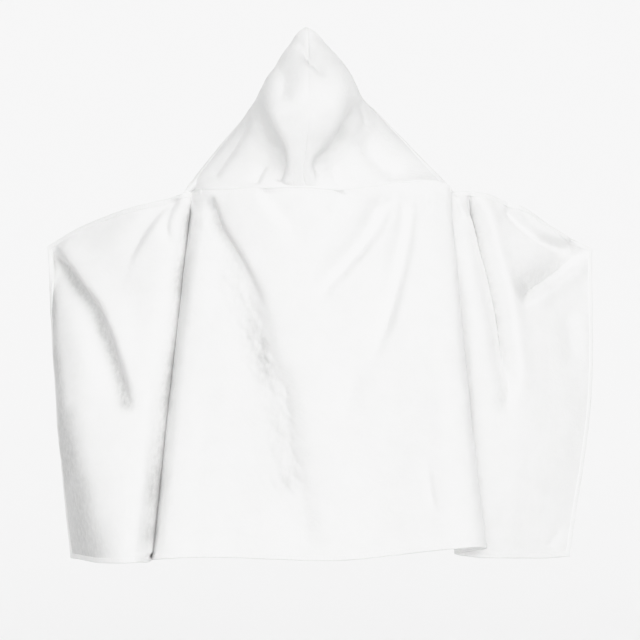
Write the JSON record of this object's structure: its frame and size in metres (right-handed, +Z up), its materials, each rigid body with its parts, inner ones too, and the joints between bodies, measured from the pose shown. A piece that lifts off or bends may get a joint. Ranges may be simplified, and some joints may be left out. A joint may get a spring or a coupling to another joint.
{
  "type": "hooded towel",
  "caption": "White plush towel with a pointed hood sewn to its neck edge, hanging open as when worn with the hood up and both upper corners held out.",
  "frame": {"origin": "middle of the neck seam, at the nape of the wearer's neck", "axes": "+Y from the wearer's back towards the chest, across the thin direction of the hanging towel; +X across the towel, towards the wearer's right; +Z up, towards the hood's point"},
  "size_m": [0.8601, 0.2259, 0.8169],
  "materials": {
    "plush": "matte",
    "hem": "matte",
    "seam": "matte",
    "label": "satin"
  },
  "bodies": {
    "back": {"back_panel": "plush", "back_hem": "hem", "neck_seam": "seam"},
    "hood": {"hood_left": "plush", "hood_right": "plush", "hood_seam": "seam", "hood_left_hem": "hem", "hood_right_hem": "hem"},
    "left_side": {"left_wing": "plush", "left_wing_hem": "hem", "left_side_hem": "hem", "left_top_hem": "hem"},
    "right_side": {"right_wing": "plush", "right_wing_hem": "hem", "right_side_hem": "hem", "right_top_hem": "hem"},
    "label": {"care_label": "label"}
  },
  "joints": [
    {"name": "hood_fold", "type": "hinge", "parent": "back", "child": "hood", "pos_m": [0, -0.004, 0], "axis": [1, 0, 0], "range_deg": [0, 115]},
    {"name": "left_wrap", "type": "hinge", "parent": "back", "child": "left_side", "pos_m": [-0.175, 0.062, -0.004], "axis": [-0.1131, 0.0106, -0.9935], "range_deg": [0, 90]},
    {"name": "right_wrap", "type": "hinge", "parent": "back", "child": "right_side", "pos_m": [0.222, 0.053, -0.004], "axis": [-0.0073, 0.0674, 0.9977], "range_deg": [0, 90]},
    {"name": "label_flap", "type": "hinge", "parent": "back", "child": "label", "pos_m": [0, 0.0052, -0.003], "axis": [1, 0, 0], "range_deg": [0, 100]}
  ]
}
